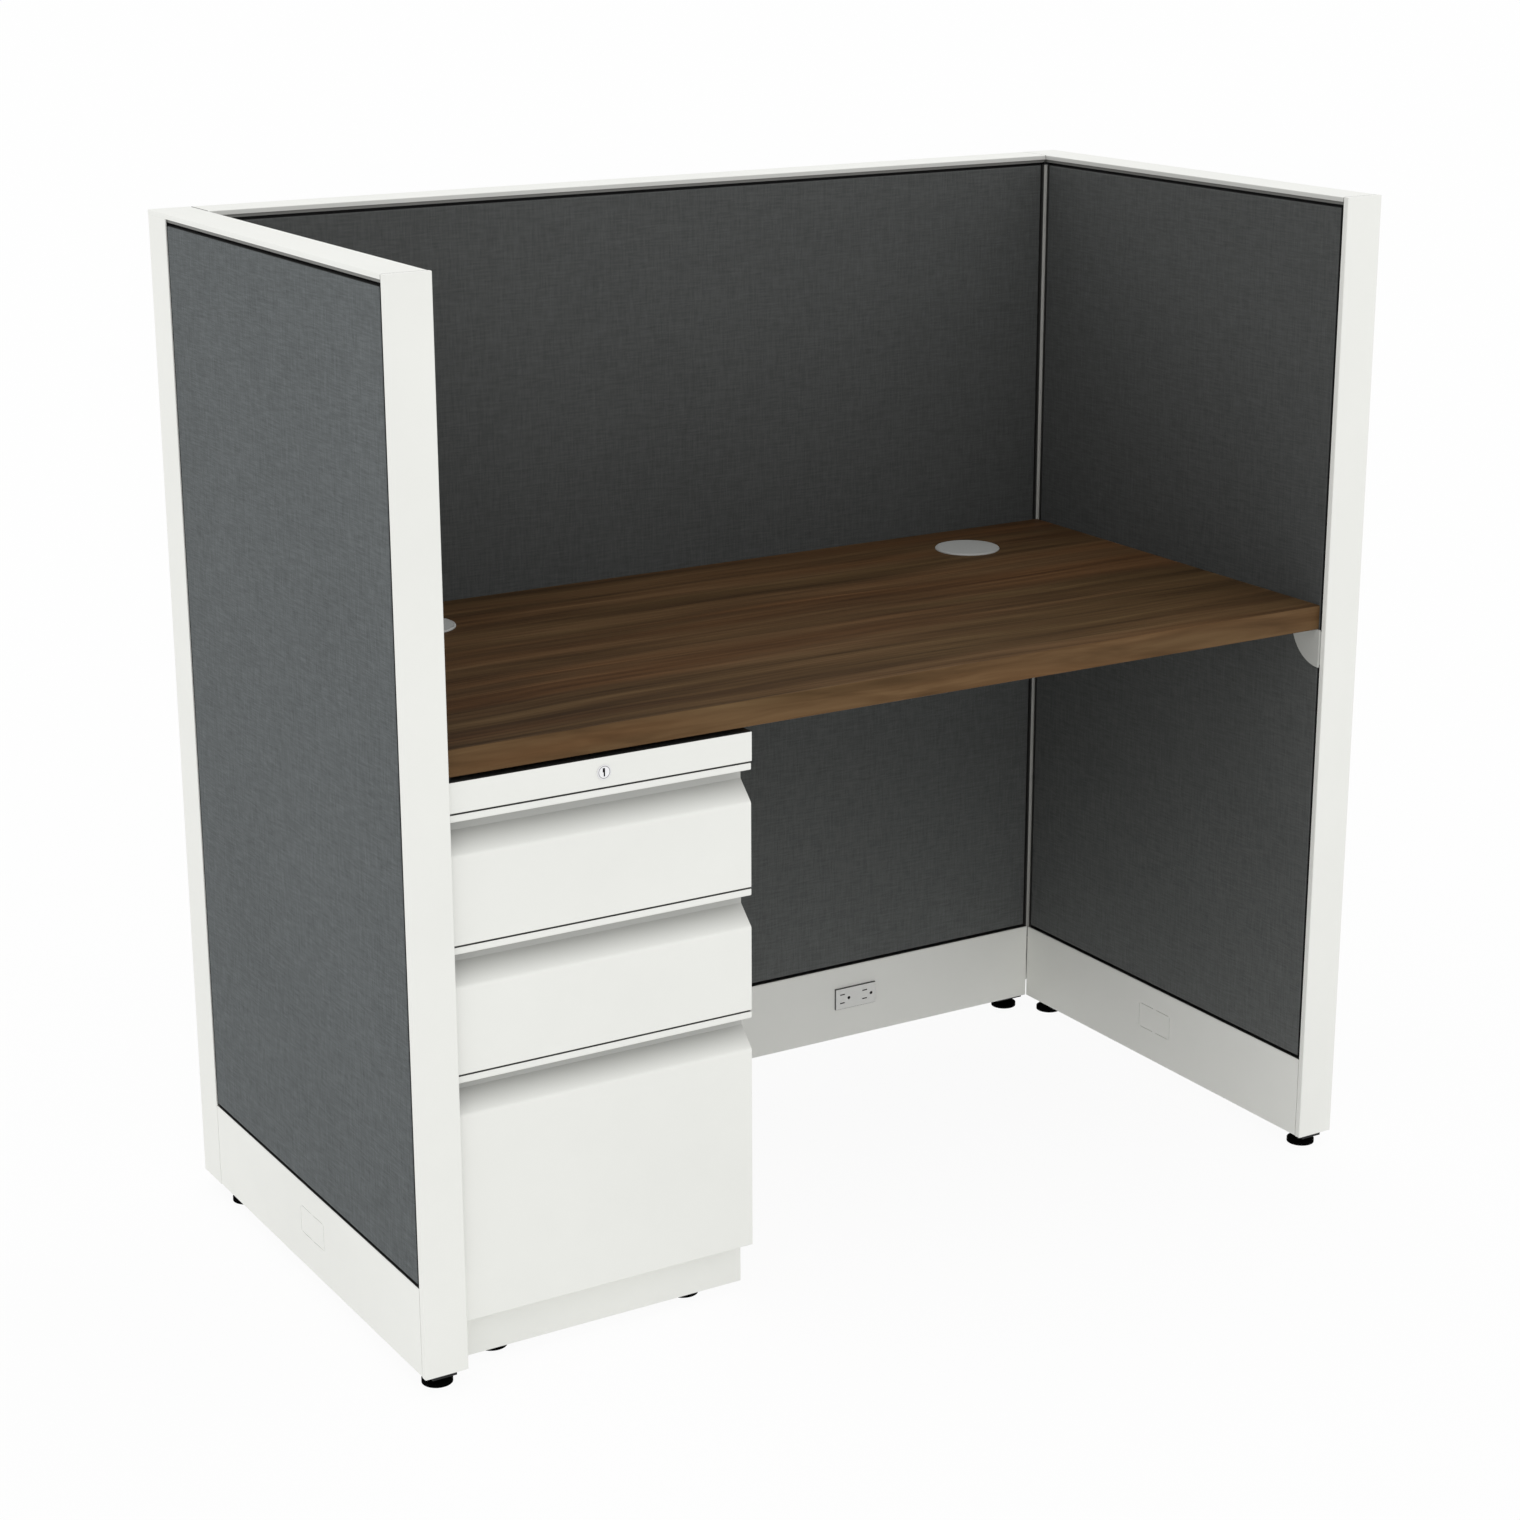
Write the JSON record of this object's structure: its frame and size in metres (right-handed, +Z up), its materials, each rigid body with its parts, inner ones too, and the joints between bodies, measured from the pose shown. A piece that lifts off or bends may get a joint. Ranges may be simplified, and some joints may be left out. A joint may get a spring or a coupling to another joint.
{
  "type": "cubicle workstation",
  "caption": "Single-seat cubicle workstation: fabric-tiled panel walls with base raceways around a walnut-grain worksurface and a lockable drawer pedestal.",
  "frame": {"origin": "on the floor, in the middle of the footprint", "axes": "+X to the sitter's right, +Y from the open front to the back wall, +Z up"},
  "size_m": [1.3336, 0.6722, 1.26],
  "materials": {
    "off_white_paint": "satin powder coat",
    "charcoal_fabric": "woven panel fabric stretched over a tackboard",
    "walnut_laminate": "satin wood-grain laminate",
    "grey_plastic": "matt moulded plastic",
    "black_plastic": "matt moulded plastic",
    "white_plastic": "moulded device face",
    "grey_paint": "satin powder coat",
    "black_paint": "matt powder coat",
    "zinc_steel": "bright zinc plate",
    "nickel_lock": "nickel plate"
  },
  "bodies": {
    "station": {"left_top_cap": "off_white_paint", "right_top_cap": "off_white_paint", "back_top_cap": "off_white_paint", "end_trims": "off_white_paint", "corner_trims": "off_white_paint", "inner_corner_trims": "off_white_paint", "left_inner_cover": "off_white_paint", "left_outer_cover": "off_white_paint", "right_inner_cover": "off_white_paint", "right_outer_cover": "off_white_paint", "back_inner_cover": "off_white_paint", "back_outer_cover": "off_white_paint", "desk_brackets": "off_white_paint", "pedestal_case": "off_white_paint", "pedestal_fascia": "off_white_paint", "pedestal_plinth": "off_white_paint", "left_inner_tile": "charcoal_fabric", "left_outer_tile": "charcoal_fabric", "right_inner_tile": "charcoal_fabric", "right_outer_tile": "charcoal_fabric", "back_inner_tile": "charcoal_fabric", "back_outer_tile": "charcoal_fabric", "worksurface": "walnut_laminate", "grommet_sleeves": "grey_plastic", "power_block": "black_plastic", "outlet": "white_plastic", "left_wall_frame": "black_paint", "right_wall_frame": "black_paint", "back_wall_frame": "black_paint", "corner_posts": "black_paint", "slide_rails": "zinc_steel", "lock_guides": "zinc_steel", "desk_screws": "zinc_steel", "lock_housing": "nickel_lock"},
    "upper_drawer": {"upper_front": "off_white_paint", "upper_tray": "grey_paint", "upper_runners": "zinc_steel"},
    "middle_drawer": {"middle_front": "off_white_paint", "middle_tray": "grey_paint", "middle_runners": "zinc_steel"},
    "file_drawer": {"file_front": "off_white_paint", "file_tray": "grey_paint", "file_runners": "zinc_steel"},
    "upper_slide": {"upper_links": "zinc_steel"},
    "middle_slide": {"middle_links": "zinc_steel"},
    "file_slide": {"file_links": "zinc_steel"},
    "lock_plug": {"lock_plug": "nickel_lock"},
    "lock_bar": {"lock_bar": "zinc_steel"},
    "left_cap": {"left_grommet_cap": "grey_plastic"},
    "right_cap": {"right_grommet_cap": "grey_plastic"},
    "left_front_glide": {"left_front_glide": "black_plastic"},
    "left_rear_glide": {"left_rear_glide": "black_plastic"},
    "right_front_glide": {"right_front_glide": "black_plastic"},
    "right_rear_glide": {"right_rear_glide": "black_plastic"},
    "back_left_glide": {"back_left_glide": "black_plastic"},
    "back_right_glide": {"back_right_glide": "black_plastic"},
    "pedestal_left_front_glide": {"pedestal_left_front_glide": "black_plastic"},
    "pedestal_right_front_glide": {"pedestal_right_front_glide": "black_plastic"},
    "pedestal_left_rear_glide": {"pedestal_left_rear_glide": "black_plastic"},
    "pedestal_right_rear_glide": {"pedestal_right_rear_glide": "black_plastic"}
  },
  "joints": [
    {"name": "upper_drawer_slide", "type": "slide", "parent": "station", "child": "upper_drawer", "axis": [0, -1, 0], "range_m": [0, 0.38]},
    {"name": "middle_drawer_slide", "type": "slide", "parent": "station", "child": "middle_drawer", "axis": [0, -1, 0], "range_m": [0, 0.38]},
    {"name": "file_drawer_slide", "type": "slide", "parent": "station", "child": "file_drawer", "axis": [0, -1, 0], "range_m": [0, 0.38]},
    {"name": "upper_slide_link", "type": "slide", "parent": "station", "child": "upper_slide", "axis": [0, -1, 0], "range_m": [0, 0.19]},
    {"name": "middle_slide_link", "type": "slide", "parent": "station", "child": "middle_slide", "axis": [0, -1, 0], "range_m": [0, 0.19]},
    {"name": "file_slide_link", "type": "slide", "parent": "station", "child": "file_slide", "axis": [0, -1, 0], "range_m": [0, 0.19]},
    {"name": "lock_turn", "type": "hinge", "parent": "station", "child": "lock_plug", "pos_m": [-0.4185, -0.3228, 0.6927], "axis": [0, 1, 0], "range_deg": [0, 90]},
    {"name": "lock_bar_drop", "type": "slide", "parent": "station", "child": "lock_bar", "axis": [0, 0, -1], "range_m": [0, 0.01131]},
    {"name": "left_cap_lift", "type": "slide", "parent": "station", "child": "left_cap", "axis": [0, 0, 1], "range_m": [0, 0.03]},
    {"name": "right_cap_lift", "type": "slide", "parent": "station", "child": "right_cap", "axis": [0, 0, 1], "range_m": [0, 0.03]},
    {"name": "left_front_glide_turn", "type": "hinge", "parent": "station", "child": "left_front_glide", "pos_m": [-0.63975, -0.3082, 0.02], "axis": [0, 0, 1], "continuous": true},
    {"name": "left_rear_glide_turn", "type": "hinge", "parent": "station", "child": "left_rear_glide", "pos_m": [-0.63975, 0.2607, 0.02], "axis": [0, 0, 1], "continuous": true},
    {"name": "right_front_glide_turn", "type": "hinge", "parent": "station", "child": "right_front_glide", "pos_m": [0.63975, -0.3082, 0.02], "axis": [0, 0, 1], "continuous": true},
    {"name": "right_rear_glide_turn", "type": "hinge", "parent": "station", "child": "right_rear_glide", "pos_m": [0.63975, 0.2607, 0.02], "axis": [0, 0, 1], "continuous": true},
    {"name": "back_left_glide_turn", "type": "hinge", "parent": "station", "child": "back_left_glide", "pos_m": [-0.59135, 0.3091, 0.02], "axis": [0, 0, 1], "continuous": true},
    {"name": "back_right_glide_turn", "type": "hinge", "parent": "station", "child": "back_right_glide", "pos_m": [0.59135, 0.3091, 0.02], "axis": [0, 0, 1], "continuous": true},
    {"name": "pedestal_left_front_glide_turn", "type": "hinge", "parent": "station", "child": "pedestal_left_front_glide", "pos_m": [-0.547, -0.2608, 0.02], "axis": [0, 0, 1], "continuous": true},
    {"name": "pedestal_right_front_glide_turn", "type": "hinge", "parent": "station", "child": "pedestal_right_front_glide", "pos_m": [-0.29, -0.2608, 0.02], "axis": [0, 0, 1], "continuous": true},
    {"name": "pedestal_left_rear_glide_turn", "type": "hinge", "parent": "station", "child": "pedestal_left_rear_glide", "pos_m": [-0.547, 0.0652, 0.02], "axis": [0, 0, 1], "continuous": true},
    {"name": "pedestal_right_rear_glide_turn", "type": "hinge", "parent": "station", "child": "pedestal_right_rear_glide", "pos_m": [-0.29, 0.0652, 0.02], "axis": [0, 0, 1], "continuous": true}
  ],
  "couplings": [
    {"joint": "upper_slide_link", "follows": "upper_drawer_slide", "ratio": 0.5},
    {"joint": "middle_slide_link", "follows": "middle_drawer_slide", "ratio": 0.5},
    {"joint": "file_slide_link", "follows": "file_drawer_slide", "ratio": 0.5},
    {"joint": "lock_turn", "follows": "lock_bar_drop", "rad_per_m": 138.84}
  ]
}
